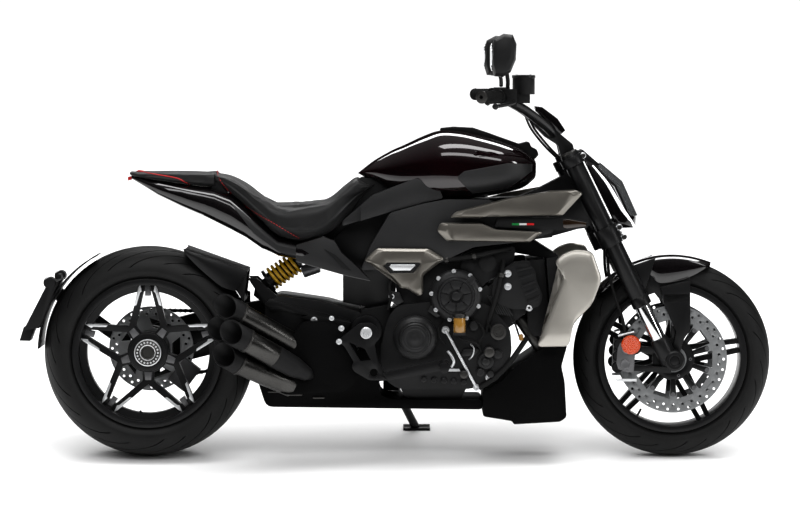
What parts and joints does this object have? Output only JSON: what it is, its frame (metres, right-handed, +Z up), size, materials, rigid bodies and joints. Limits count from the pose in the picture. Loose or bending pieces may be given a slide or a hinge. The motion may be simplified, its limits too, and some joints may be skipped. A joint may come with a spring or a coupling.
{
  "type": "cruiser motorcycle",
  "caption": "Muscular low cruiser motorcycle parked on its side stand, with a wide rear tyre, single-sided swingarm, stacked silencer outlets, steerable fork and turning wheels.",
  "frame": {"origin": "centre of the bounding box on the ground plane", "axes": "+X towards the front wheel, +Y towards the rider's left where the side stand is, +Z up"},
  "size_m": [2.2867, 0.938, 1.3347],
  "materials": {
    "amber": "translucent amber",
    "black_metal": "satin black paint",
    "black_plastic": "matte black",
    "caliper": "anodised grey",
    "chrome": "polished hard chrome",
    "disc": "ground and drilled steel",
    "engine_metal": "dark satin cast aluminium",
    "gloss_black": "gloss black",
    "grey_panel": "matte dark grey",
    "gunmetal": "champagne metallic paint",
    "lens": "clear lens",
    "red_lens": "red lens",
    "rubber": "matte rubber",
    "seat_cover": "grained black cover with red stitching",
    "silver": "machined silver",
    "spring": "golden yellow paint",
    "steel": "brushed steel",
    "tank_paint": "gloss black paint with a deep red tint",
    "tyre": "road tyre"
  },
  "bodies": {
    "chassis": {"main_frame": "black_metal", "engine_case": "engine_metal", "cylinder_heads": "engine_metal", "engine_covers": "engine_metal", "engine_fittings": "engine_metal", "radiator": "black_plastic", "radiator_shrouds": "grey_panel", "belly_pan": "black_plastic", "exhaust_headers": "steel", "exhaust_box": "black_metal", "silencer_cover": "black_plastic", "silencer_cans": "steel", "silencer_outlets": "black_plastic", "fuel_tank": "tank_paint", "tank_console": "black_plastic", "knee_panels": "grey_panel", "side_covers": "grey_panel", "intake_blades": "gunmetal", "front_indicators": "amber", "vee_covers": "gunmetal", "seat": "seat_cover", "pillion_pad": "seat_cover", "tail_frame": "gloss_black", "tail_light": "red_lens", "swingarm": "black_metal", "shock_body": "black_metal", "shock_spring": "spring", "chain": "steel", "rear_mudguard": "black_plastic", "plate_carrier": "black_plastic", "rear_caliper": "caliper", "footpeg_plates": "black_metal", "foot_controls": "silver", "rear_reservoir": "amber"},
    "steering": {"triple_clamps": "black_metal", "fork_tubes": "black_metal", "fork_stanchions": "chrome", "fork_feet": "black_metal", "handlebar": "black_metal", "grips": "rubber", "bar_controls": "black_plastic", "brake_hoses": "black_plastic", "mirrors": "gloss_black", "display": "gloss_black", "headlight": "gloss_black", "headlight_lens": "lens", "front_mudguard": "tank_paint", "front_calipers": "caliper", "reflectors": "amber"},
    "front_wheel": {"front_tyre": "tyre", "front_rim": "black_metal", "front_discs": "disc"},
    "rear_wheel": {"rear_tyre": "tyre", "rear_rim": "black_metal", "rear_disc": "disc", "rear_sprocket": "steel", "rear_axle": "silver"},
    "side_stand": {"side_stand": "black_metal"}
  },
  "joints": [
    {"name": "steering", "type": "hinge", "parent": "chassis", "child": "steering", "pos_m": [0.57892, -0.06627, 0.76476], "axis": [-0.4384, 0.1406, 0.8877], "range_deg": [-32, 32]},
    {"name": "front_wheel_spin", "type": "hinge", "parent": "steering", "child": "front_wheel", "pos_m": [0.8435, -0.14007, 0.29881], "axis": [0, 0.9877, -0.1564], "continuous": true},
    {"name": "rear_wheel_spin", "type": "hinge", "parent": "chassis", "child": "rear_wheel", "pos_m": [-0.7495, -0.13694, 0.31856], "axis": [0, 0.9877, -0.1564], "continuous": true},
    {"name": "stand_fold", "type": "hinge", "parent": "chassis", "child": "side_stand", "pos_m": [-0.013, 0.01636, 0.18696], "axis": [0.0182, 0.8704, 0.4921], "range_deg": [0, 107]}
  ]
}
